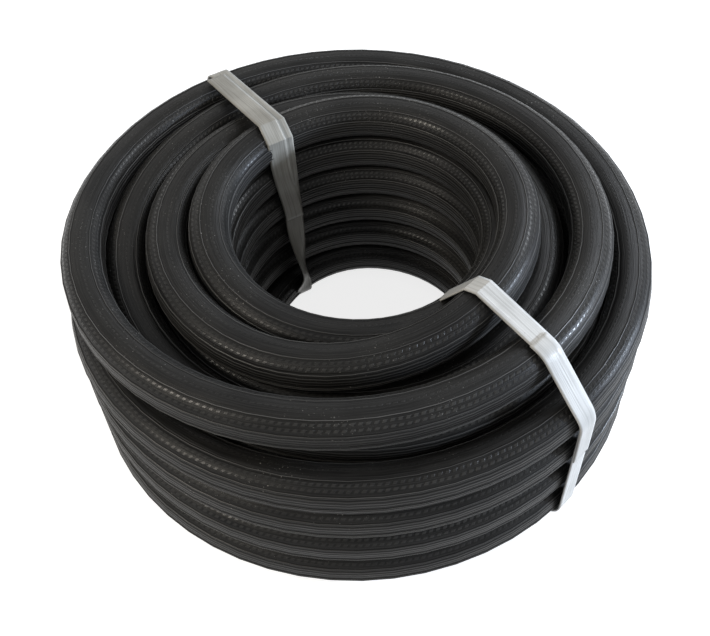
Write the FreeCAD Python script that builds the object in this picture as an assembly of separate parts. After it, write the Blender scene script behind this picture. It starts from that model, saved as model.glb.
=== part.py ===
"""Strapped coil of rubber hose: one long hose wound in four columns, tied by two flat bands.

Units are millimetres. The origin is on the coil's axis, on the floor that the coil lies on.
+Z is up. An azimuth is counted anticlockwise from +X, seen from above.
"""
import FreeCAD, Part
import math
import os

from FreeCAD import Vector

# The hose
HOSE_OD = 23.5
HOSE_WALL = 3.8
LINER_WALL = 1.4
PLY_WALL = 0.6
HOSE_SIDES = 12

# The coil
EYE_RADIUS = 70.0
TURN_GAP = 0.6
BASE_FLAT = 1.2
INNER_TURNS = 5 + 1 / 3
MIDDLE_TURNS = 4 + 11 / 18
OUTER_TURNS = 4 + 1 / 3
MIDDLE_CLIMB = 4.75
OUTER_FALL = 4.62
CROSSING_TURNS = 0.5
INNER_CROSSING_SWELL = 8.0
FLOOR_CROSSING_SWELL = 3.0
OUTER_CROSSING_SWELL = 8.0
START_AZIMUTH = 180.0

# The cut ends of the hose
INNER_END_LENGTH = 25.0
OUTER_END_LENGTH = 30.0
INNER_END_EASE = 11.5
OUTER_END_EASE = 3.0

# The bands
BAND_WIDTH = 12.0
BAND_THICKNESS = 0.8
BAND_SEAT = 0.3
BAND_FLOOR_CLEARANCE = 0.1
LAP_GAP = 0.1
LEFT_BAND_AZIMUTH = 124.5
LEFT_LAP_SHIFT = 4.8
RIGHT_BAND_AZIMUTH = -41.0
RIGHT_LAP_SHIFT = -1.2
GROOVE_SIDE_CLEARANCE = 1.5

# Values that follow from these
HOSE_RADIUS = HOSE_OD / 2
HOSE_BORE = HOSE_OD - 2 * HOSE_WALL
STEP = HOSE_OD + TURN_GAP
COLUMNS = [EYE_RADIUS + HOSE_RADIUS + column * STEP for column in range(4)]
LOW = HOSE_RADIUS - BASE_FLAT


def crossing_hump(share, swell):
    """Height, in steps, that a crossing rises over its ends. It leaves at the winding's own climb."""
    spread = share * (1 - share)
    return CROSSING_TURNS * spread * (1 + swell * spread)


# Each stage of the winding: turns, first and last column, first and last height in steps, which
# way it humps, and how strongly. The hose climbs the inner column, crosses outward over its top
# while the climb reverses, comes down the next, crosses outward along the floor, climbs the third,
# crosses once more and comes down the outer column. A crossing goes on climbing, or falling, as it
# leaves its column, so it clears the turn below it.
DIP = crossing_hump(0.5, FLOOR_CROSSING_SWELL)
MIDDLE_TOP = DIP + MIDDLE_CLIMB
STAGES = [
    (INNER_TURNS, 0, 0, 0.0, INNER_TURNS, 0, 0.0),
    (CROSSING_TURNS, 0, 1, INNER_TURNS, MIDDLE_TOP, 1, INNER_CROSSING_SWELL),
    (MIDDLE_TURNS, 1, 1, MIDDLE_TOP, DIP, 0, 0.0),
    (CROSSING_TURNS, 1, 2, DIP, DIP, -1, FLOOR_CROSSING_SWELL),
    (MIDDLE_TURNS, 2, 2, DIP, MIDDLE_TOP, 0, 0.0),
    (CROSSING_TURNS, 2, 3, MIDDLE_TOP, OUTER_FALL, 1, OUTER_CROSSING_SWELL),
    (OUTER_TURNS, 3, 3, OUTER_FALL, 0.0, 0, 0.0),
]
ALL_TURNS = sum(stage[0] for stage in STAGES)
TOP = LOW + STEP * (max(INNER_TURNS, MIDDLE_TOP, OUTER_FALL) + DIP) + HOSE_RADIUS


def eased(share):
    """Goes from 0 to 1 with no kink at either end."""
    share = min(1.0, max(0.0, share))
    return share * share * (3 - 2 * share)


def place(turn):
    """Azimuth in radians, radius and height of the hose's middle line after so many turns."""
    azimuth = math.radians(START_AZIMUTH) - 2 * math.pi * turn
    left = min(ALL_TURNS, max(0.0, turn))
    for turns, column_a, column_b, steps_a, steps_b, hump, swell in STAGES:
        share = min(1.0, left / turns)
        left -= turns
        if left <= 1e-9:
            break
    across = eased(share)
    upward = across if hump else share
    radius = COLUMNS[column_a] + (COLUMNS[column_b] - COLUMNS[column_a]) * across
    radius -= INNER_END_EASE * (1 - eased(4 * turn))
    radius += OUTER_END_EASE * (1 - eased(6 * (ALL_TURNS - turn)))
    steps = steps_a + (steps_b - steps_a) * upward + hump * crossing_hump(share, swell)
    return azimuth, radius, LOW + STEP * steps


def point(turn):
    azimuth, radius, height = place(turn)
    return Vector(radius * math.cos(azimuth), radius * math.sin(azimuth), height)


def heading(turn):
    """Direction of the hose there, level at the two cut ends."""
    small = 0.01
    ahead = point(turn + small) - point(turn - small)
    if turn <= 0 or turn >= ALL_TURNS:
        azimuth = place(turn)[0]
        ahead = Vector(math.sin(azimuth), -math.cos(azimuth), 0)
    return ahead.normalize()


def arc_through(start, corner, end):
    """Arc from start to end that leaves and arrives along the lines to their common corner."""
    middle = (start + end) * 0.5
    half_chord = (end - start).Length / 2
    to_corner = corner - middle
    half_angle = math.atan2(to_corner.Length, half_chord)
    rise = half_chord * math.tan(half_angle / 2)
    return Part.Arc(start, middle + to_corner.normalize() * rise, end)


def biarc(start, start_way, end, end_way):
    """Two arcs that run from one point and direction to the other with no kink."""
    span = end - start
    ways = start_way + end_way
    turned = 2 * (1 - start_way.dot(end_way))
    along = span.dot(ways)
    reach = (math.sqrt(along * along + turned * span.dot(span)) - along) / turned
    corner_a = start + start_way * reach
    corner_b = end - end_way * reach
    joint = (corner_a + corner_b) * 0.5
    return [arc_through(start, corner_a, joint), arc_through(joint, corner_b, end)]


def stage_marks():
    """Turn counts at which one biarc ends and the next begins, a quarter turn or less apart."""
    marks = [0.0]
    for stage in STAGES:
        parts = math.ceil(stage[0] * 4 - 0.001)
        start = marks[-1]
        marks += [start + stage[0] * (part + 1) / parts for part in range(parts)]
    return marks


def winding_arcs():
    arcs = []
    marks = stage_marks()
    for here, there in zip(marks, marks[1:]):
        arcs += biarc(point(here), heading(here), point(there), heading(there))
    return arcs


def hose_section(centre, way):
    """Section of the wound hose, many-sided and as wide across its corners as the hose."""
    side = way.cross(Vector(0, 0, 1)).normalize()
    rise = side.cross(way)
    corners = []
    for index in range(HOSE_SIDES + 1):
        angle = 2 * math.pi * index / HOSE_SIDES
        corners.append(centre + (side * math.cos(angle) + rise * math.sin(angle)) * HOSE_RADIUS)
    return Part.makePolygon(corners)


def wound_hose(path, section):
    sweep = Part.BRepOffsetAPI.MakePipeShell(path)
    sweep.add(section)
    sweep.build()
    sweep.makeSolid()
    return sweep.shape()


def sideways_box(azimuth, inner, outer, width, low, high):
    """Box that lies along a radius, from one radius to another, centred on the azimuth."""
    box = Part.makeBox(outer - inner, width, high - low, Vector(inner, -width / 2, low))
    box.rotate(Vector(0, 0, 0), Vector(0, 0, 1), azimuth)
    return box


def hose_sections_at(azimuth, half_width):
    """Radius and height of every turn where it passes under a band of that half width."""
    sections = []
    first = (START_AZIMUTH - azimuth) / 360 % 1.0
    for index in range(math.ceil(ALL_TURNS)):
        turn = first + index
        if turn > ALL_TURNS:
            break
        spread = half_width / (2 * math.pi * place(turn)[1])
        for shift in (-spread, 0.0, spread):
            near = min(ALL_TURNS, max(0.0, turn + shift))
            sections.append(place(near)[1:])
    return sections


def hull(points):
    """Corners of the tight loop round the points, anticlockwise."""
    points = sorted(set(points))

    def chain(ordered):
        kept = []
        for spot in ordered:
            while len(kept) > 1:
                (ax, ay), (bx, by) = kept[-2], kept[-1]
                if (bx - ax) * (spot[1] - ay) - (by - ay) * (spot[0] - ax) > 1e-9:
                    break
                kept.pop()
            kept.append(spot)
        return kept[:-1]

    return chain(points) + chain(points[::-1])


def taut_loop(corners, reach):
    """Face inside a loop drawn tight round circles of that radius at the corners."""
    edges = []
    count = len(corners)
    for index in range(count):
        before, here, after = (corners[(index + offset) % count] for offset in (-1, 0, 1))
        way_in = math.atan2(here[1] - before[1], here[0] - before[0])
        way_out = math.atan2(after[1] - here[1], after[0] - here[0])
        swing = (way_out - way_in) % (2 * math.pi)
        spots = []
        for angle in (way_in, way_in + swing / 2, way_out):
            side = angle - math.pi / 2
            spots.append(Vector(here[0] + reach * math.cos(side), 0, here[1] + reach * math.sin(side)))
        edges.append(Part.Arc(*spots).toShape())
        normal = way_out - math.pi / 2
        next_start = Vector(after[0] + reach * math.cos(normal), 0, after[1] + reach * math.sin(normal))
        edges.append(Part.LineSegment(spots[2], next_start).toShape())
    return Part.Face(Part.Wire(edges))


def band_ring(azimuth, shift, reach, thickness, floor):
    """Closed flat band round the coil's section, pulled flat along the floor below it."""
    half = BAND_WIDTH / 2 + abs(shift)
    corners = hull(hose_sections_at(azimuth, half))
    far = COLUMNS[-1] + 4 * HOSE_OD
    rings = []
    for offset, low in ((reach + thickness, floor), (reach, floor + thickness)):
        solid = taut_loop(corners, offset).extrude(Vector(0, BAND_WIDTH, 0))
        solid.translate(Vector(0, shift - BAND_WIDTH / 2, 0))
        above = Part.makeBox(far, 2 * far, far, Vector(0, -far, low))
        rings.append(solid.common(above))
    band = rings[0].cut(rings[1])
    band.rotate(Vector(0, 0, 0), Vector(0, 0, 1), azimuth)
    return band


def band(azimuth):
    return band_ring(azimuth, 0.0, HOSE_RADIUS + BAND_SEAT, BAND_THICKNESS, BAND_FLOOR_CLEARANCE)


def lap(azimuth, shift, inner, outer, low):
    """Free end of the band, laid over it again and welded flat, kept inside a region."""
    reach = HOSE_RADIUS + BAND_SEAT + BAND_THICKNESS + LAP_GAP
    ring = band_ring(azimuth, shift, reach, BAND_THICKNESS, BAND_FLOOR_CLEARANCE)
    region = sideways_box(azimuth, inner, outer, 4 * BAND_WIDTH, low, 2 * TOP)
    return ring.common(region)


def hose_coil():
    path = Part.Wire([arc.toShape() for arc in winding_arcs()])
    section = hose_section(point(0), heading(0))
    coil = wound_hose(path, section)
    print("coil volume over section times length",
          round(coil.Volume / (Part.Face(section).Area * path.Length), 5))
    width = BAND_WIDTH + 2 * GROOVE_SIDE_CLEARANCE
    top = BAND_FLOOR_CLEARANCE + BAND_THICKNESS + BAND_SEAT
    far = COLUMNS[-1] + HOSE_OD
    tools = [Part.makeBox(2 * far, 2 * far, HOSE_OD, Vector(-far, -far, -HOSE_OD))]
    for azimuth in (LEFT_BAND_AZIMUTH, RIGHT_BAND_AZIMUTH):
        tools.append(sideways_box(azimuth, EYE_RADIUS - HOSE_RADIUS, far, width, -1.0, top))
    return path, coil.cut(tools)


def end_layers(start, way, length):
    """Straight stretch of hose as its liner, its woven ply and its cover, one inside the other."""
    bore = HOSE_BORE / 2
    radii = [bore, bore + LINER_WALL, bore + LINER_WALL + PLY_WALL, HOSE_RADIUS]
    floor_box = Part.makeBox(8 * HOSE_OD, 8 * HOSE_OD, HOSE_OD,
                             Vector(start.x - 4 * HOSE_OD, start.y - 4 * HOSE_OD, -HOSE_OD))
    layers = []
    for inner, outer in zip(radii, radii[1:]):
        layer = Part.makeCylinder(outer, length, start, way)
        layer = layer.cut(Part.makeCylinder(inner, length, start, way))
        layers.append(layer.cut(floor_box))
    return layers


def least_gap():
    """Least clear distance between the turns, from points close together on the middle line."""
    per_turn = 240
    spots = [point(index / per_turn) for index in range(int(ALL_TURNS * per_turn) + 1)]
    reach = STEP + 4
    cells = {}
    for index, spot in enumerate(spots):
        cells.setdefault((spot.x // reach, spot.y // reach, spot.z // reach), []).append(index)
    least = reach
    offsets = [(x, y, z) for x in (-1, 0, 1) for y in (-1, 0, 1) for z in (-1, 0, 1)]
    for cell, members in cells.items():
        near = []
        for offset in offsets:
            near += cells.get(tuple(a + b for a, b in zip(cell, offset)), [])
        for index in members:
            for other in near:
                if other - index > per_turn / 3:
                    span = spots[other] - spots[index]
                    along = (spots[index + 1] - spots[index]).normalize()
                    sideways = span - along * span.dot(along)
                    if abs(span.dot(along)) < 4:
                        least = min(least, sideways.Length)
    return least - HOSE_OD


def tightest_radius(arcs):
    return min(arc.toShape().Curve.Radius for arc in arcs)


def export(name, shape):
    shape.exportStep(f"parts/{name}.step")
    print(name, "solids", len(shape.Solids), "valid", shape.isValid(), "volume", round(shape.Volume))


def main():
    os.makedirs("parts", exist_ok=True)
    path, coil = hose_coil()
    export("hose_coil", coil)
    print("least gap between turns", round(least_gap(), 3))
    print("tightest bend", round(tightest_radius(winding_arcs()), 1))

    ends = (("inner_end", point(0), heading(0) * -1, INNER_END_LENGTH),
            ("outer_end", point(ALL_TURNS), heading(ALL_TURNS), OUTER_END_LENGTH))
    for name, start, way, length in ends:
        for layer_name, layer in zip(("liner", "ply", "cover"), end_layers(start, way, length)):
            export(f"{name}_{layer_name}", layer)
    print("hose length", round(path.Length + INNER_END_LENGTH + OUTER_END_LENGTH, 1))

    export("band_left", band(LEFT_BAND_AZIMUTH))
    export("band_left_lap", lap(LEFT_BAND_AZIMUTH, LEFT_LAP_SHIFT, EYE_RADIUS - HOSE_RADIUS,
                                COLUMNS[3], TOP / 2))
    export("band_right", band(RIGHT_BAND_AZIMUTH))
    export("band_right_lap", lap(RIGHT_BAND_AZIMUTH, RIGHT_LAP_SHIFT, COLUMNS[2],
                                 COLUMNS[3] + HOSE_OD, TOP / 2))


main()
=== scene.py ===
"""A strapped coil of black rubber hose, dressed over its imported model."""
import math

import bmesh
import bpy
from mathutils import Matrix, Vector


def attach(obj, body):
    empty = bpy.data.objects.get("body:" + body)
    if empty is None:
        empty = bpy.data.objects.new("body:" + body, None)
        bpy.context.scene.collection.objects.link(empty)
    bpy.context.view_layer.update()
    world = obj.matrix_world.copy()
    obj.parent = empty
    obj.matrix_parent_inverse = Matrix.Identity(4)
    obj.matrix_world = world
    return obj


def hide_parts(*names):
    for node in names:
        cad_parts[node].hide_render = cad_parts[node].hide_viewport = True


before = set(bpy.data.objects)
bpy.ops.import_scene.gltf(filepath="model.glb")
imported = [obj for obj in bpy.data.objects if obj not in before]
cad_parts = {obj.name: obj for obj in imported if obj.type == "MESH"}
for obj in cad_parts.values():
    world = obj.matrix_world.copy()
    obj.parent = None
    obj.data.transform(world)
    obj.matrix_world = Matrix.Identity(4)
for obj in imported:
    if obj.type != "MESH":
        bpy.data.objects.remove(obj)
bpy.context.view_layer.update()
scene = bpy.context.scene

# Sizes of the coil, in metres, as in the part's source

HOSE_RADIUS = 0.01175
HOSE_ROUND = 2 * math.pi * HOSE_RADIUS
PLY_RADIUS = 0.00995
EYE_RADIUS = 0.070
TURN_GAP = 0.0006
BASE_FLAT = 0.0012
STEP = 2 * HOSE_RADIUS + TURN_GAP
COLUMNS = [EYE_RADIUS + HOSE_RADIUS + column * STEP for column in range(4)]
LOW = HOSE_RADIUS - BASE_FLAT
INNER_END_LENGTH = 0.025
OUTER_END_LENGTH = 0.030
INNER_TURNS = 5 + 1 / 3
MIDDLE_TURNS = 4 + 11 / 18
OUTER_TURNS = 4 + 1 / 3
MIDDLE_CLIMB = 4.75
OUTER_FALL = 4.62
CROSSING_TURNS = 0.5
INNER_CROSSING_SWELL = 8.0
FLOOR_CROSSING_SWELL = 3.0
OUTER_CROSSING_SWELL = 8.0
INNER_END_EASE = 0.0115
OUTER_END_EASE = 0.003
INNER_EASE_TURNS = 1 / 4
OUTER_EASE_TURNS = 1 / 6
POINTS_PER_TURN = 30

BAND_WIDTH = 0.012
BAND_THICKNESS = 0.0008
BAND_SEAT = 0.0003
BAND_FLOOR = 0.0001
LAP_GAP = 0.0001
LEFT_BAND = math.radians(124.5)
RIGHT_BAND = math.radians(-41.0)
LEFT_LAP_SHIFT = 0.0048
RIGHT_LAP_SHIFT = -0.0012

# The photograph's camera: its place in metres, its turns in radians and its lens in millimetres

CAMERA_SPOT = (0.0354, -0.3818, 0.5226)
CAMERA_DOWN = 0.8959
CAMERA_ASIDE = -0.1001
CAMERA_TILT = -0.0477
FOCAL_LENGTH = 49.83
SENSOR_WIDTH = 36.0


# The hose's line

def crossing_hump(share, swell):
    """Height, in steps, that a crossing rises over its ends."""
    spread = share * (1 - share)
    return CROSSING_TURNS * spread * (1 + swell * spread)


DIP = crossing_hump(0.5, FLOOR_CROSSING_SWELL)
MIDDLE_TOP = DIP + MIDDLE_CLIMB

# Turns, first and last column, first and last height in steps, way of the hump and its swell
STAGES = [
    (INNER_TURNS, 0, 0, 0.0, INNER_TURNS, 0, 0.0),
    (CROSSING_TURNS, 0, 1, INNER_TURNS, MIDDLE_TOP, 1, INNER_CROSSING_SWELL),
    (MIDDLE_TURNS, 1, 1, MIDDLE_TOP, DIP, 0, 0.0),
    (CROSSING_TURNS, 1, 2, DIP, DIP, -1, FLOOR_CROSSING_SWELL),
    (MIDDLE_TURNS, 2, 2, DIP, MIDDLE_TOP, 0, 0.0),
    (CROSSING_TURNS, 2, 3, MIDDLE_TOP, OUTER_FALL, 1, OUTER_CROSSING_SWELL),
    (OUTER_TURNS, 3, 3, OUTER_FALL, 0.0, 0, 0.0),
]
ALL_TURNS = sum(stage[0] for stage in STAGES)


def eased(share):
    """A share kept between 0 and 1, with a soft start and a soft end."""
    share = min(1.0, max(0.0, share))
    return share * share * (3 - 2 * share)


def place(turn):
    """Azimuth, radius and height of the hose's middle line after so many turns."""
    azimuth = math.pi - 2 * math.pi * turn
    left = min(ALL_TURNS, max(0.0, turn))
    for turns, column_a, column_b, steps_a, steps_b, hump, swell in STAGES:
        share = min(1.0, left / turns)
        left -= turns
        if left <= 1e-9:
            break
    across = eased(share)
    upward = across if hump else share
    radius = COLUMNS[column_a] + (COLUMNS[column_b] - COLUMNS[column_a]) * across
    radius -= INNER_END_EASE * (1 - eased(turn / INNER_EASE_TURNS))
    radius += OUTER_END_EASE * (1 - eased((ALL_TURNS - turn) / OUTER_EASE_TURNS))
    steps = steps_a + (steps_b - steps_a) * upward + hump * crossing_hump(share, swell)
    return azimuth, radius, LOW + STEP * steps


def route_point(turn):
    azimuth, radius, height = place(turn)
    return Vector((radius * math.cos(azimuth), radius * math.sin(azimuth), height))


def level_heading(turn):
    azimuth = place(turn)[0]
    return Vector((math.sin(azimuth), -math.cos(azimuth), 0.0))


def hose_route():
    """Control points of the hose's line, from its inner cut end to its outer one."""
    start_way = -level_heading(0.0)
    end_way = level_heading(ALL_TURNS)
    route = [route_point(0.0) + start_way * INNER_END_LENGTH * share for share in (1.0, 0.5)]
    steps = round(ALL_TURNS * POINTS_PER_TURN)
    route += [route_point(ALL_TURNS * index / steps) for index in range(steps + 1)]
    route += [route_point(ALL_TURNS) + end_way * OUTER_END_LENGTH * share for share in (0.5, 1.0)]
    return route


def smooth_line(route):
    """Points along the open NURBS spline whose control points are the route."""
    curve = bpy.data.curves.new("hose_line", "CURVE")
    curve.dimensions = "3D"
    curve.resolution_u = 2
    spline = curve.splines.new("NURBS")
    spline.points.add(len(route) - 1)
    for control, spot in zip(spline.points, route):
        control.co = (*spot, 1.0)
    spline.order_u = 3
    spline.use_endpoint_u = True
    holder = bpy.data.objects.new("hose_line", curve)
    scene.collection.objects.link(holder)
    mesh = bpy.data.meshes.new_from_object(holder)
    line = [vertex.co.copy() for vertex in mesh.vertices]
    bpy.data.objects.remove(holder)
    bpy.data.curves.remove(curve)
    bpy.data.meshes.remove(mesh)
    return line


# Camera

def set_camera():
    level = math.cos(CAMERA_DOWN)
    forward = Vector((math.sin(CAMERA_ASIDE) * level, math.cos(CAMERA_ASIDE) * level, -math.sin(CAMERA_DOWN)))
    right = forward.cross(Vector((0, 0, 1))).normalized()
    up = right.cross(forward)
    right_tilted = right * math.cos(CAMERA_TILT) + up * math.sin(CAMERA_TILT)
    up_tilted = up * math.cos(CAMERA_TILT) - right * math.sin(CAMERA_TILT)
    data = bpy.data.cameras.new("camera")
    data.sensor_width = SENSOR_WIDTH
    data.lens = FOCAL_LENGTH
    data.clip_start = 0.01
    camera = bpy.data.objects.new("camera", data)
    turned = Matrix((right_tilted, up_tilted, -forward)).transposed().to_4x4()
    camera.matrix_world = Matrix.Translation(CAMERA_SPOT) @ turned
    scene.collection.objects.link(camera)
    scene.camera = camera


# Grids that become pieces

def numbered_grid(bm, rows, columns):
    """Adds a grid and its UV layer, and gives the row and column of each of its vertices."""
    bm.loops.layers.uv.new("UVMap")
    bmesh.ops.create_grid(bm, x_segments=rows, y_segments=columns, size=1.0)
    cells = {}
    for vertex in bm.verts:
        cells[vertex] = (round((vertex.co.x + 1) / 2 * rows), round((vertex.co.y + 1) / 2 * columns))
    return cells


def map_surface(bm, cells, travelled, shares):
    """Writes the UV map: metres along the piece, and share of the way across or round it."""
    uv = bm.loops.layers.uv["UVMap"]
    for face in bm.faces:
        face.smooth = True
        for loop in face.loops:
            row, column = cells[loop.vert]
            loop[uv].uv = (travelled[row], shares[column])


def piece_from(name, bm):
    mesh = bpy.data.meshes.new(name)
    bm.to_mesh(mesh)
    bm.free()
    piece = bpy.data.objects.new(name, mesh)
    scene.collection.objects.link(piece)
    return piece


# The hose's section, as strips round it and their widths in millimetres

SECTION = [
    ("ridge", 1.4), ("ridge", 1.4), ("ribs", 7.4), ("ridge", 1.4),
    ("plain", 1.6), ("marks", 1.4), ("plain", 1.4), ("late_marks", 1.4), ("plain", 1.0), ("ridge", 1.4),
    ("plain", 4.7), ("faint_marks", 0.9), ("plain", 4.2), ("ridge", 1.3),
    ("plain", 0.8), ("marks", 1.3), ("plain", 1.2), ("late_marks", 1.3), ("plain", 0.8), ("ridge", 1.4),
    ("ribs", 5.4), ("ridge", 1.4), ("ribs", 7.6),
    ("plain", 2.3), ("faint_marks", 1.4), ("ridge", 1.4), ("plain", 2.6),
    ("ribs", 5.6), ("plain", 4.6), ("ridge", 1.4), ("ribs", 3.8),
]
SECTION_ROUND = sum(width for kind, width in SECTION)
WIDEST_FACET = 2.2

# The first strip starts a little below the outward side, and the rest go up and over
SECTION_START = math.radians(-20)

RIDGE_HEIGHT = 0.0004

# Share of a ridge's width, share of its height, and 1 for its top or -1 for the groove beside it
RIDGE_SHAPE = [(0.0, 0.0, 0.0), (0.2, -0.25, -1.0), (0.42, 1.0, 1.0), (0.58, 1.0, 1.0), (0.8, -0.25, -1.0)]

# The ridges stand out from a slightly thinner body
BODY_RADIUS = HOSE_RADIUS - 0.0003

# The turns press each other a little square: 2 would be round, and both cut ends stay round
SQUARENESS = 2.35
ROUND_END_LENGTH = 0.03
SQUARED_OVER = 0.05

# Waves in which the ribs wander round the hose: radians, radians per metre and start
WANDER = [(0.08, 2.3, 0.0), (0.05, 5.1, 1.0)]

# The lowest turns lie flat on the floor, with a groove over each strap that passes below
NEAR_FLOOR = 0.002
GROOVE_DEPTH = 0.0012
GROOVE_HALF_WIDTH = 0.022
GROOVE_SLOPE = 0.012

CUT_CLEARANCE = 0.00002


def section_stations():
    """Share of the way round, height over the body, and top or groove, of points round the hose."""
    stations = []
    begun = 0.0
    for kind, width in SECTION:
        shape = RIDGE_SHAPE
        if kind != "ridge":
            count = max(1, round(width / WIDEST_FACET))
            shape = [(part / count, 0.0, 0.0) for part in range(count)]
        for share, height, relief in shape:
            stations.append(((begun + share * width) / SECTION_ROUND, height * RIDGE_HEIGHT, relief))
        begun += width
    return stations


def pressed_square(angle, amount):
    """Reach of the pressed section at an angle, as a share of its level and upright reach."""
    reach = (abs(math.cos(angle)) ** SQUARENESS + abs(math.sin(angle)) ** SQUARENESS) ** (-1 / SQUARENESS)
    return 1 + (reach - 1) * amount


def hose_frames(line):
    """Outward, upward and forward directions of the hose at each point of its line."""
    frames = []
    for index in range(len(line)):
        ahead = line[min(index + 1, len(line) - 1)] - line[max(index - 1, 0)]
        ahead.normalize()
        outward = Vector((0, 0, 1)).cross(ahead).normalized()
        frames.append((outward, ahead.cross(outward), ahead))
    return frames


def strap_groove(spot):
    """Height that the hose's underside keeps above the floor where a strap passes below it."""
    nearest = 1.0
    for azimuth in (LEFT_BAND, RIGHT_BAND):
        along = spot.x * math.cos(azimuth) + spot.y * math.sin(azimuth)
        if along > 0:
            nearest = min(nearest, abs(spot.y * math.cos(azimuth) - spot.x * math.sin(azimuth)))
    return GROOVE_DEPTH * eased((GROOVE_HALF_WIDTH - nearest) / GROOVE_SLOPE)


def build_hose(line):
    """The whole hose, its ridges in the mesh and marked in a colour attribute."""
    stations = section_stations()
    frames = hose_frames(line)
    travelled = [0.0]
    for here, there in zip(line, line[1:]):
        travelled.append(travelled[-1] + (there - here).length)
    bm = bmesh.new()
    relief = bm.verts.layers.float_color.new("relief")
    cells = numbered_grid(bm, len(line) - 1, len(stations))
    map_surface(bm, cells, travelled, [station[0] for station in stations] + [1.0])
    for vertex, (ring, side) in cells.items():
        turned, height, top_or_groove = stations[side % len(stations)]
        wander = sum(swing * math.sin(travelled[ring] * pace + start) for swing, pace, start in WANDER)
        angle = 2 * math.pi * turned + wander + SECTION_START
        from_end = min(travelled[ring], travelled[-1] - travelled[ring])
        squared = eased((from_end - ROUND_END_LENGTH) / SQUARED_OVER)
        reach = BODY_RADIUS * pressed_square(angle, squared) + height
        outward, upward = frames[ring][:2]
        spot = line[ring] + (outward * math.cos(angle) + upward * math.sin(angle)) * reach
        if spot.z < NEAR_FLOOR:
            spot.z = max(spot.z, strap_groove(spot))
        vertex.co = spot
        vertex[relief] = (max(0.0, top_or_groove), max(0.0, -top_or_groove), 0.0, 1.0)
    bmesh.ops.remove_doubles(bm, verts=bm.verts, dist=1e-6)
    cut_cover_end(bm, line[0], frames[0][2], INNER_END_LENGTH)
    cut_cover_end(bm, line[-1], -frames[-1][2], OUTER_END_LENGTH)
    bmesh.ops.recalc_face_normals(bm, faces=bm.faces)
    return piece_from("rubber_hose", bm)


def cut_cover_end(bm, centre, inward, depth):
    """Closes the cut cover: a flat ring, then a wall that goes down to a plain bottom."""
    rim = [edge for edge in bm.edges
           if edge.is_boundary and (edge.verts[0].co - centre).length < 2 * HOSE_RADIUS]
    ring = bmesh.ops.extrude_edge_only(bm, edges=rim)["geom"]
    for part in ring:
        if isinstance(part, bmesh.types.BMVert):
            across = part.co - centre
            across -= inward * across.dot(inward)
            part.co = centre + across.normalized() * (PLY_RADIUS + CUT_CLEARANCE)
    edges = [part for part in ring if isinstance(part, bmesh.types.BMEdge)]
    wall = bmesh.ops.extrude_edge_only(bm, edges=edges)["geom"]
    for part in wall:
        if isinstance(part, bmesh.types.BMVert):
            part.co += inward * depth
    bottom = [part for part in wall if isinstance(part, bmesh.types.BMEdge)]
    bmesh.ops.edgeloop_fill(bm, edges=bottom)


# The straps

# How far each strap stands aside of its node's middle, and its twist inside the eye
LEFT_ASIDE = 0.007
RIGHT_ASIDE = -0.007
LEFT_TWIST = math.radians(62)
RIGHT_TWIST = math.radians(-30)

# Heights between which the twist grows on the way down, and fades again near the floor
TWIST_TOP = 0.075
TWIST_FULL = 0.03
TWIST_FADES = 0.038
TWIST_BOTTOM = 0.008
EYE_EDGE = COLUMNS[0] - HOSE_RADIUS + 0.002

# The free end's lowest point, and the height over which it slides aside of the loop
LAP_BOTTOM = 0.078
LAP_SLIDE = 0.05

# Bends in radians, and spaces between a strap's points in metres
SHARP_BEND = 0.5
BEND_STEP = 0.16
RUN_STEP = 0.002
CLOSEST_POINTS = 0.0004
WIDEST_GAP = 0.01
STRAP_STRIPS = 8
CREASE = math.radians(14)


def strap_corners(azimuth, aside, half_width):
    """Radius and height of every turn where it passes under a strap of that half width."""
    corners = []
    first = (math.pi - azimuth) / (2 * math.pi) % 1.0
    for index in range(math.ceil(ALL_TURNS)):
        turn = first + index
        if turn > ALL_TURNS:
            break
        radius = place(turn)[1]
        turn -= aside / radius / (2 * math.pi)
        spread = half_width / (2 * math.pi * radius)
        for shift in (-spread, 0.0, spread):
            corners.append(place(min(ALL_TURNS, max(0.0, turn + shift)))[1:])
    return corners


def hull(points):
    """Corners of the tight loop round the points, anticlockwise."""
    points = sorted(set(points))

    def chain(ordered):
        kept = []
        for spot in ordered:
            while len(kept) > 1:
                (ax, ay), (bx, by) = kept[-2], kept[-1]
                if (bx - ax) * (spot[1] - ay) - (by - ay) * (spot[0] - ax) > 1e-12:
                    break
                kept.pop()
            kept.append(spot)
        return kept[:-1]

    return chain(points) + chain(points[::-1])


def beside(corner, way, reach):
    """The spot at that reach from a corner, to the right of the way."""
    side = way - math.pi / 2
    return corner[0] + reach * math.cos(side), corner[1] + reach * math.sin(side)


def bend_shape(corner, swing):
    """Shares of a bend, and their reach: two creases where it turns into the eye, else an arc."""
    radius, height = corner
    if radius < COLUMNS[1] and height > 4 * STEP and swing > SHARP_BEND:
        crease = 1 / math.cos(swing / 4)
        return [(0.0, 1.0), (0.25, crease), (0.5, 1.0), (0.75, crease), (1.0, 1.0)]
    parts = max(1, math.ceil(swing / BEND_STEP))
    return [(part / parts, 1.0) for part in range(parts + 1)]


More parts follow.
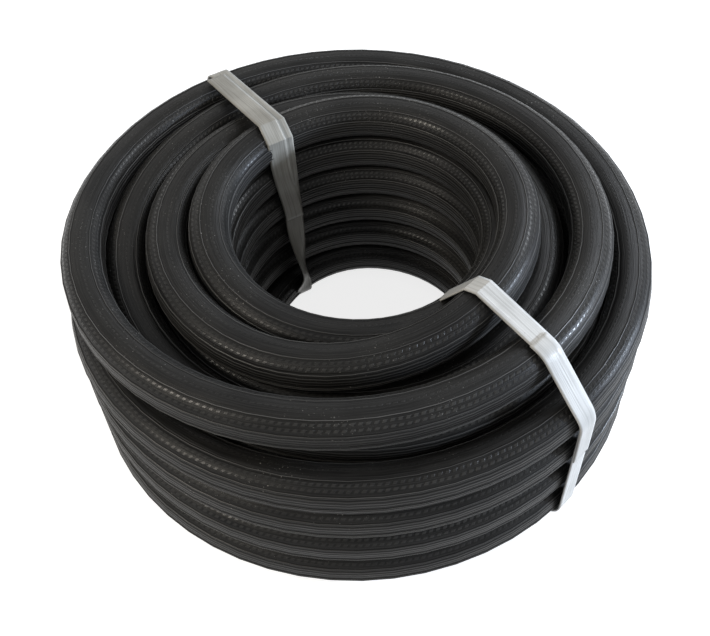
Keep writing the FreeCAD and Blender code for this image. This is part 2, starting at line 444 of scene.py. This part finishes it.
def taut_line(corners, reach, floor):
    """Closed line drawn tight round circles at the corners, as points of radius and height."""
    line = []
    count = len(corners)
    for index in range(count):
        before, here, after = (corners[(index + offset) % count] for offset in (-1, 0, 1))
        way_in = math.atan2(here[1] - before[1], here[0] - before[0])
        way_out = math.atan2(after[1] - here[1], after[0] - here[0])
        swing = (way_out - way_in) % (2 * math.pi)
        for share, further in bend_shape(here, swing):
            line.append(beside(here, way_in + swing * share, reach * further))
        leave = line[-1]
        arrive = beside(after, way_out, reach)
        runs = max(1, round(math.dist(leave, arrive) / RUN_STEP))
        for run in range(1, runs):
            share = run / runs
            line.append(tuple(start + (stop - start) * share for start, stop in zip(leave, arrive)))
    spaced = [line[0]]
    for spot in line[1:]:
        if math.dist(spot, spaced[-1]) > CLOSEST_POINTS:
            spaced.append(spot)
    if math.dist(spaced[0], spaced[-1]) < CLOSEST_POINTS:
        spaced.pop()
    return [(radius, max(height, floor)) for radius, height in spaced]


def eye_twist(radius, height, most):
    """The strap turns on edge low down inside the eye, and lies flat again on the floor."""
    if radius > EYE_EDGE:
        return 0.0
    grown = eased((TWIST_TOP - height) / (TWIST_TOP - TWIST_FULL))
    return most * grown * eased((height - TWIST_BOTTOM) / (TWIST_FADES - TWIST_BOTTOM))


def build_strap(name, azimuth, aside, twist, shift, line, closed):
    """Flat strap along a line in the upright plane through the axis at that azimuth."""
    rows = len(line) if closed else len(line) - 1
    travelled = [0.0]
    for index in range(rows):
        here, there = line[index], line[(index + 1) % len(line)]
        travelled.append(travelled[-1] + math.dist(here, there))
    bm = bmesh.new()
    cells = numbered_grid(bm, rows, STRAP_STRIPS)
    map_surface(bm, cells, travelled, [strip / STRAP_STRIPS for strip in range(STRAP_STRIPS + 1)])
    outward = Vector((math.cos(azimuth), math.sin(azimuth), 0))
    sideways = Vector((-math.sin(azimuth), math.cos(azimuth), 0))
    for vertex, (row, strip) in cells.items():
        radius, height = line[row % len(line)]
        turned = eye_twist(radius, height, twist)
        off_centre = aside + shift * eased((height - LAP_BOTTOM) / LAP_SLIDE)
        reach = (strip / STRAP_STRIPS - 0.5) * BAND_WIDTH
        inward = abs(math.sin(turned)) * BAND_WIDTH / 2 + math.sin(turned) * reach
        spot = outward * (radius - inward) + sideways * (off_centre + reach * math.cos(turned))
        vertex.co = spot + Vector((0, 0, height))
    bmesh.ops.remove_doubles(bm, verts=bm.verts, dist=1e-6)
    bmesh.ops.recalc_face_normals(bm, faces=bm.faces)
    for edge in bm.edges:
        edge.smooth = edge.calc_face_angle(0.0) < CREASE
    strap = piece_from(name, bm)
    wall = strap.modifiers.new("wall", "SOLIDIFY")
    wall.thickness = BAND_THICKNESS
    wall.offset = 0.0
    return strap


def strap_pair(side, azimuth, aside, twist, shift, lap_from, lap_to):
    """The strap's closed loop, and its free end, welded over it between two radii."""
    reach = HOSE_RADIUS + BAND_SEAT + BAND_THICKNESS / 2
    floor = BAND_FLOOR + BAND_THICKNESS / 2
    corners = hull(strap_corners(azimuth, aside, BAND_WIDTH / 2))
    line = taut_line(corners, reach, floor)
    loop = build_strap(f"strap_{side}", azimuth, aside, twist, 0.0, line, True)

    corners = hull(strap_corners(azimuth, aside, BAND_WIDTH / 2 + abs(shift)))
    line = taut_line(corners, reach + BAND_THICKNESS + LAP_GAP, floor)
    line = [spot for spot in line if spot[1] > LAP_BOTTOM and lap_from < spot[0] < lap_to]
    for index in range(1, len(line)):
        if math.dist(line[index - 1], line[index]) > WIDEST_GAP:
            line = line[index:] + line[:index]
            break
    lap = build_strap(f"strap_{side}_lap", azimuth, aside, twist, shift, line, False)
    return loop, lap


# Short ways to build materials

class Shading:
    """A node tree, with short ways to add nodes and feed them."""

    def __init__(self, tree):
        self.nodes = tree.nodes
        self.links = tree.links

    def feed(self, node, inputs):
        """Each named or numbered input gets a link from a socket, or else a plain value."""
        for name, value in inputs.items():
            socket = node.inputs[name]
            if isinstance(value, bpy.types.NodeSocket):
                self.links.new(value, socket)
            elif socket.type == "RGBA":
                socket.default_value = (*value, 1)
            else:
                socket.default_value = value

    def add(self, kind, inputs, **settings):
        """Outputs of a new node with these settings and inputs."""
        node = self.nodes.new(kind)
        for name, value in settings.items():
            setattr(node, name, value)
        self.feed(node, inputs)
        return node.outputs

    def maths(self, operation, *values):
        return self.add("ShaderNodeMath", dict(enumerate(values)), operation=operation)[0]

    def times(self, first, second):
        return self.maths("MULTIPLY", first, second)

    def plus(self, base, value, share):
        """The base plus that share of the value."""
        return self.maths("MULTIPLY_ADD", value, share, base)

    def larger(self, first, second):
        return self.maths("MAXIMUM", first, second)

    def soft_step(self, value, low, high):
        inputs = {"Value": value, "From Min": low, "From Max": high}
        return self.add("ShaderNodeMapRange", inputs, interpolation_type="SMOOTHSTEP")["Result"]

    def mixed(self, share, first, second):
        """The first colour, with that share of the second."""
        return self.add("ShaderNodeMix", {"Factor": share, 6: first, 7: second}, data_type="RGBA")[2]

    def noise(self, vector, detail):
        return self.add("ShaderNodeTexNoise", {"Scale": 1.0, "Detail": detail, "Vector": vector})["Fac"]

    def bump(self, height, strength, distance):
        inputs = {"Strength": strength, "Distance": distance, "Height": height}
        return self.add("ShaderNodeBump", inputs)["Normal"]

    def use(self, group, metres, **values):
        """Outputs of a node group that is placed here with its own values."""
        inputs = {name.replace("_", " "): value for name, value in values.items()}
        return self.add("ShaderNodeGroup", {"Metres": metres, **inputs}, node_tree=group)


def new_material(name):
    material = bpy.data.materials.new(name)
    material.use_nodes = True
    return material, Shading(material.node_tree), material.node_tree.nodes["Principled BSDF"]


def new_group(name, inputs, outputs):
    """A node group that takes a vector of metres and some numbers, and puts out numbers."""
    group = bpy.data.node_groups.new(name, "ShaderNodeTree")
    group.interface.new_socket(name="Metres", in_out="INPUT", socket_type="NodeSocketVector")
    for socket, default in inputs.items():
        made = group.interface.new_socket(name=socket, in_out="INPUT", socket_type="NodeSocketFloat")
        made.default_value = default
    for socket in outputs:
        group.interface.new_socket(name=socket, in_out="OUTPUT", socket_type="NodeSocketFloat")
    shading = Shading(group)
    return group, shading, shading.add("NodeGroupInput", {}), group.nodes.new("NodeGroupOutput")


def surface_metres(shading, round_length):
    """The UV map as a vector of metres, and apart: metres along, and share across or round."""
    spot = shading.add("ShaderNodeUVMap", {}, uv_map="UVMap")
    parts = shading.add("ShaderNodeSeparateXYZ", {0: spot["UV"]})
    across = shading.times(parts["Y"], round_length)
    whole = shading.add("ShaderNodeCombineXYZ", {"X": parts["X"], "Y": across})
    return whole[0], parts["X"], parts["Y"]


# Effects that several materials share

def streaks_group():
    """Fine lines drawn out along a surface whose vector is metres along and metres across."""
    group, shading, given, end = new_group(
        "lengthwise_streaks", {"Length": 0.03, "Width": 0.0006, "Low": 0.4, "High": 0.6}, ["Streaks", "Raw"])
    parts = shading.add("ShaderNodeSeparateXYZ", {0: given["Metres"]})
    along = shading.maths("DIVIDE", parts["X"], given["Length"])
    across = shading.maths("DIVIDE", parts["Y"], given["Width"])
    drawn = shading.add("ShaderNodeCombineXYZ", {"X": along, "Y": across})
    raw = shading.noise(drawn[0], 3.0)
    shading.feed(end, {"Streaks": shading.soft_step(raw, given["Low"], given["High"]), "Raw": raw})
    return group


def scuffs_group():
    """Scattered small rubs and specks, in clusters."""
    group, shading, given, end = new_group(
        "scuffs_and_specks", {"Speck Size": 0.0012, "Spread": 0.05, "Amount": 0.5}, ["Specks", "Patches"])

    def blotches(size):
        scale = shading.maths("DIVIDE", 1.0, size)
        spot = shading.add("ShaderNodeVectorMath", {0: given["Metres"], "Scale": scale}, operation="SCALE")
        return shading.noise(spot[0], 2.0)

    specks = blotches(given["Speck Size"])
    patches = blotches(given["Spread"])
    clustered = shading.times(shading.soft_step(specks, 0.66, 0.74), shading.soft_step(patches, 0.5, 0.62))
    shading.feed(end, {"Specks": shading.times(clustered, given["Amount"]), "Patches": patches})
    return group


STREAKS = streaks_group()
SCUFFS = scuffs_group()


# The hose's rubber

BLACK_RUBBER = (0.006, 0.0059, 0.0058)
WORN_RUBBER = (0.0145, 0.0141, 0.0131)
DRAWN_LINES = (0.03, 0.0293, 0.0281)
# Ridge and rib tops: rubbed wear, and a painted highlight, lighter colour along each top
RUBBED_AND_HIGHLIGHTED_TOPS = (0.12, 0.118, 0.112)
# Painted shade: darker colour in the grooves beside the ridges and ribs
PAINTED_GROOVE_SHADE = (0.002, 0.002, 0.002)
# A lighter tone for the rows of marks
LIGHTER_MARK_TONE = (0.1, 0.098, 0.092)
DUST = (0.3, 0.29, 0.27)

# Red is the strength of a row of cloth marks, green its place in their pitch, blue fine ribs
STRIP_SIGNS = {
    "marks": (1, 0, 0, 1),
    "late_marks": (1, 0.5, 0, 1),
    "faint_marks": (0.5, 0, 0, 1),
    "ribs": (0, 0, 1, 1),
}
NO_SIGN = (0, 0, 0, 1)

# Cloth marks and cloth grain in metres, ribs and grain in counts round the hose
MARK_PITCH = 0.0035
MARK_SLANT = 0.6
GRAIN_PITCH = 0.0012
GRAIN_COUNT = 62
RIB_COUNT = 40


def section_signs(shading, turned):
    """Strength of the cloth marks, their place in the pitch, and ribs, at a share round the hose."""
    ramp = shading.nodes.new("ShaderNodeValToRGB")
    band = ramp.color_ramp
    band.interpolation = "CONSTANT"
    band.elements.remove(band.elements[1])
    band.elements[0].color = NO_SIGN
    begun = 0.0
    last = NO_SIGN
    for kind, width in SECTION:
        sign = STRIP_SIGNS.get(kind, NO_SIGN)
        if sign != last:
            band.elements.new(begun / SECTION_ROUND).color = sign
        last = sign
        begun += width
    shading.feed(ramp, {"Fac": turned})
    parts = shading.add("ShaderNodeSeparateColor", {0: ramp.outputs["Color"]})
    return parts["Red"], parts["Green"], parts["Blue"]


def cloth_marks(shading, along, turned, row, late, fading):
    """Slanted marks in rows along the hose, fainter here and there."""
    slanted = shading.plus(late, turned, HOSE_ROUND * MARK_SLANT / MARK_PITCH)
    phase = shading.plus(slanted, along, 1 / MARK_PITCH)
    marks = shading.soft_step(shading.maths("PINGPONG", phase, 0.5), 0.18, 0.27)
    return shading.times(shading.times(marks, row), shading.plus(0.4, fading["Streaks"], 0.6))


def ridges_and_ribs(shading, turned, ribbed, fading):
    """Tops of ridges and ribs, for wear and a painted highlight; tops of the ribs alone; grooves, for painted
    shade.
    """
    relief = shading.add("ShaderNodeAttribute", {}, attribute_name="relief")
    parts = shading.add("ShaderNodeSeparateColor", {0: relief["Color"]})
    wave = shading.maths("PINGPONG", shading.times(turned, RIB_COUNT), 0.5)
    rib_tops = shading.times(shading.soft_step(wave, 0.24, 0.42), ribbed)
    rib_feet = shading.times(shading.soft_step(wave, 0.2, 0.06), ribbed)
    ridge_tops = shading.times(shading.soft_step(parts["Red"], 0.3, 0.95), shading.times(fading["Raw"], 1.4))
    top_wear_and_highlight = shading.larger(ridge_tops, shading.times(rib_tops, 0.4))
    # Where the grooves are, for their painted shade and their rougher surface
    groove_shade = shading.larger(parts["Green"], shading.times(rib_feet, 0.7))
    return top_wear_and_highlight, rib_tops, groove_shade


def rubber_material():
    material, shading, shader = new_material("ribbed_black_rubber")
    metres, along, turned = surface_metres(shading, HOSE_ROUND)
    row, late, ribbed = section_signs(shading, turned)
    fading = shading.use(STREAKS, metres, Length=0.16, Width=0.012, Low=0.38, High=0.6)
    streaks = shading.use(STREAKS, metres, Length=0.04, Width=0.0006, Low=0.4, High=0.62)
    scuffs = shading.use(SCUFFS, metres, Speck_Size=0.0011, Spread=0.045, Amount=0.8)
    marks = cloth_marks(shading, along, turned, row, late, fading)
    top_wear_and_highlight, rib_tops, groove_shade = ridges_and_ribs(shading, turned, ribbed, fading)

    tone = shading.mixed(shading.soft_step(scuffs["Patches"], 0.35, 0.68), BLACK_RUBBER, WORN_RUBBER)
    tone = shading.mixed(shading.times(streaks["Streaks"], 0.5), tone, DRAWN_LINES)
    # Lighter tops: partly wear, partly a painted highlight along the ridges and ribs
    tone = shading.mixed(shading.times(top_wear_and_highlight, 0.7), tone, RUBBED_AND_HIGHLIGHTED_TOPS)
    # Painted shade in the grooves
    tone = shading.mixed(shading.times(groove_shade, 0.8), tone, PAINTED_GROOVE_SHADE)
    # The rows of marks are painted a lighter tone than the rubber
    tone = shading.mixed(shading.times(marks, 0.25), tone, LIGHTER_MARK_TONE)
    tone = shading.mixed(scuffs["Specks"], tone, DUST)

    rough = shading.plus(0.22, streaks["Raw"], 0.3)
    rough = shading.plus(rough, marks, -0.16)
    rough = shading.plus(rough, groove_shade, 0.3)
    rough = shading.plus(rough, scuffs["Specks"], 0.25)
    polished = shading.larger(top_wear_and_highlight, shading.times(marks, 0.45))

    # Cloth grain and drawn lines are calmer in the rows of marks
    calm = shading.plus(0.25, row, -0.2)
    grain_along = shading.maths("SINE", shading.times(along, 2 * math.pi / GRAIN_PITCH))
    grain_round = shading.maths("SINE", shading.times(turned, 2 * math.pi * GRAIN_COUNT))
    grain = shading.times(shading.times(grain_along, grain_round), calm)
    height = shading.plus(shading.times(streaks["Raw"], calm), grain, 0.1)
    height = shading.plus(height, rib_tops, 0.2)
    height = shading.plus(height, marks, 0.4)

    shading.feed(shader, {
        "Base Color": tone,
        "Roughness": rough,
        "Specular IOR Level": 0.15,
        "Coat Weight": shading.times(polished, 0.32),
        "Coat Roughness": 0.28,
        "Normal": shading.bump(height, 0.9, 0.001),
    })
    return material


# The straps' plastic and the cut ends' layers

STRAP_SPECKS = (0.24, 0.24, 0.23)
# The left strap's plastic is rubbed and beige, and its tones are also darker as painted shade, since it
# stands in less light than the right strap
RUBBED_AND_SHADED_PLASTIC = {"dull": (0.3, 0.291, 0.26), "clean": (0.41, 0.4, 0.362), "streaked": (0.15, 0.144, 0.125)}
MILKY_PLASTIC = {"dull": (0.53, 0.525, 0.5), "clean": (0.66, 0.655, 0.63), "streaked": (0.35, 0.346, 0.325)}
DARK_LINER = (0.022, 0.022, 0.023)
PALE_LINER = (0.04, 0.039, 0.037)
LINER_SPECKS = (0.2, 0.19, 0.17)
# Painted shade: the weave's hollows are darker than its threads' tops
YARN_HOLLOW_SHADE = (0.3, 0.27, 0.21)
YARN_TOPS = (0.66, 0.62, 0.53)
YARN_SPECKS = (0.16, 0.14, 0.11)
YARN_SCALE = 260.0


def strap_material(name, dull, clean, streaked):
    material, shading, shader = new_material(name)
    metres = surface_metres(shading, BAND_WIDTH)[0]
    lines = shading.use(STREAKS, metres, Length=0.05, Width=0.0011, Low=0.48, High=0.62)
    rubs = shading.use(SCUFFS, metres, Speck_Size=0.0022, Spread=0.03, Amount=0.5)
    tone = shading.mixed(shading.soft_step(rubs["Patches"], 0.35, 0.65), dull, clean)
    tone = shading.mixed(shading.times(lines["Streaks"], 0.4), tone, streaked)
    shading.feed(shader, {
        "Base Color": shading.mixed(rubs["Specks"], tone, STRAP_SPECKS),
        "Roughness": shading.plus(0.2, lines["Raw"], 0.2),
        "Specular IOR Level": 0.25,
        "Normal": shading.bump(lines["Raw"], 0.5, 0.0004),
    })
    return material


def liner_material():
    """Smooth drawn tube with a slightly uneven, cut face."""
    material, shading, shader = new_material("smooth_liner_rubber")
    spot = shading.add("ShaderNodeTexCoord", {})["Object"]
    rubs = shading.use(SCUFFS, spot, Speck_Size=0.0008, Spread=0.006, Amount=0.6)
    drawn = shading.use(STREAKS, spot, Length=0.01, Width=0.0006, Low=0.4, High=0.6)
    tone = shading.mixed(shading.soft_step(rubs["Patches"], 0.35, 0.65), DARK_LINER, PALE_LINER)
    shading.feed(shader, {
        "Base Color": shading.mixed(rubs["Specks"], tone, LINER_SPECKS),
        "Roughness": shading.plus(0.3, drawn["Raw"], 0.3),
        "Normal": shading.bump(drawn["Raw"], 0.5, 0.0002),
    })
    return material


def yarn_material():
    """Undyed yarn laid both ways round the liner, seen at the cuts as short crossing ends."""
    material, shading, shader = new_material("braided_yarn")
    spot = shading.add("ShaderNodeTexCoord", {})["Object"]
    waves = []
    for way in (1, -1):
        turned = shading.add("ShaderNodeMapping", {"Vector": spot, "Scale": (way, 1, 1)})["Vector"]
        inputs = {"Vector": turned, "Scale": YARN_SCALE, "Distortion": 1.2, "Detail": 2.0}
        waves.append(shading.add("ShaderNodeTexWave", inputs, bands_direction="DIAGONAL")["Fac"])
    height = shading.larger(waves[0], waves[1])
    rubs = shading.use(SCUFFS, spot, Speck_Size=0.0007, Spread=0.004, Amount=0.7)
    # Painted shade: the hollows of the weave darker than the tops of its threads
    thread = shading.mixed(height, YARN_HOLLOW_SHADE, YARN_TOPS)
    shading.feed(shader, {
        "Base Color": shading.mixed(rubs["Specks"], thread, YARN_SPECKS),
        "Roughness": shading.plus(0.9, height, -0.15),
        "Normal": shading.bump(height, 0.8, 0.0003),
    })
    return material


# Floor and light

FLOOR_TONE = (0.62, 0.62, 0.62)
FLOOR_GLOW = 0.8
FLOOR_HALF_SIZE = 3.0
FLOOR_DROP = 0.0002
WORLD_LEVEL = 0.28


def white_where_seen(shading):
    """1 for rays from the camera, in reflections and through clear things."""
    rays = shading.add("ShaderNodeLightPath", {})
    seen = shading.larger(rays["Is Camera Ray"], rays["Is Transmission Ray"])
    return shading.larger(seen, rays["Is Glossy Ray"])


def build_floor():
    bm = bmesh.new()
    below = Matrix.Translation((0, 0, -FLOOR_DROP))
    bmesh.ops.create_grid(bm, x_segments=1, y_segments=1, size=FLOOR_HALF_SIZE, matrix=below)
    floor = piece_from("pale_floor", bm)
    material, shading, shader = new_material("pale_floor")
    shading.feed(shader, {
        "Base Color": FLOOR_TONE,
        "Roughness": 1.0,
        "Specular IOR Level": 0.0,
        "Emission Color": (1, 1, 1),
        "Emission Strength": shading.times(white_where_seen(shading), FLOOR_GLOW),
    })
    floor.data.materials.append(material)


def build_world():
    """A plain level of light that is white where it is seen."""
    world = bpy.data.worlds.new("studio")
    scene.world = world
    world.use_nodes = True
    shading = Shading(world.node_tree)
    level = shading.plus(WORLD_LEVEL, white_where_seen(shading), 1 - WORLD_LEVEL)
    shading.feed(world.node_tree.nodes["Background"], {"Color": (1, 1, 1), "Strength": level})


def soft_lamp(name, spot, aim, size, power, colour):
    data = bpy.data.lights.new(name, "AREA")
    data.shape = "RECTANGLE"
    data.size, data.size_y = size
    data.energy = power
    data.color = colour
    lamp = bpy.data.objects.new(name, data)
    way = (Vector(aim) - Vector(spot)).normalized()
    lamp.matrix_world = Matrix.Translation(spot) @ way.to_track_quat("-Z", "Y").to_matrix().to_4x4()
    scene.collection.objects.link(lamp)


# Putting it together

def dress_strap(side, azimuth, aside, twist, shift, lap_from, lap_to, plastic):
    """One strap and its lap, in the places of their two nodes."""
    loop, lap = strap_pair(side, azimuth, aside, twist, shift, lap_from, lap_to)
    for strap, node in ((loop, f"band_{side}"), (lap, f"band_{side}_lap")):
        strap.data.materials.append(plastic)
        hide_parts(node)
        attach(strap, "root")


def repaint(name, material):
    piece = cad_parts[name]
    piece.data.materials.clear()
    piece.data.materials.append(material)


line = smooth_line(hose_route())
hose = build_hose(line)
hose.data.materials.append(rubber_material())
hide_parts("hose_coil", "inner_end_cover", "outer_end_cover")
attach(hose, "root")

# The left strap's darker plastic is partly painted shade
dress_strap("left", LEFT_BAND, LEFT_ASIDE, LEFT_TWIST, LEFT_LAP_SHIFT, 0.0, COLUMNS[3],
            strap_material("rubbed_shaded_strap_plastic", **RUBBED_AND_SHADED_PLASTIC))
dress_strap("right", RIGHT_BAND, RIGHT_ASIDE, RIGHT_TWIST, RIGHT_LAP_SHIFT, COLUMNS[2], math.inf,
            strap_material("milky_strap_plastic", **MILKY_PLASTIC))

liner = liner_material()
yarn = yarn_material()
for end in ("inner_end", "outer_end"):
    repaint(f"{end}_liner", liner)
    repaint(f"{end}_ply", yarn)

set_camera()
build_floor()
build_world()
soft_lamp("left_lamp", spot=(-0.78, -0.42, 0.8), aim=(0, 0, 0.08), size=(0.56, 0.16),
          power=5.2, colour=(1.0, 0.92, 0.8))
soft_lamp("back_right_lamp", spot=(0.42, 0.34, 0.55), aim=(0, 0, 0.08), size=(0.26, 0.22),
          power=2.4, colour=(0.88, 0.93, 1.0))
soft_lamp("low_right_lamp", spot=(1.9, 0.1, 0.52), aim=(0, 0, 0.12), size=(0.34, 0.16),
          power=46, colour=(0.74, 0.84, 1.0))
scene.view_settings.view_transform = "Standard"
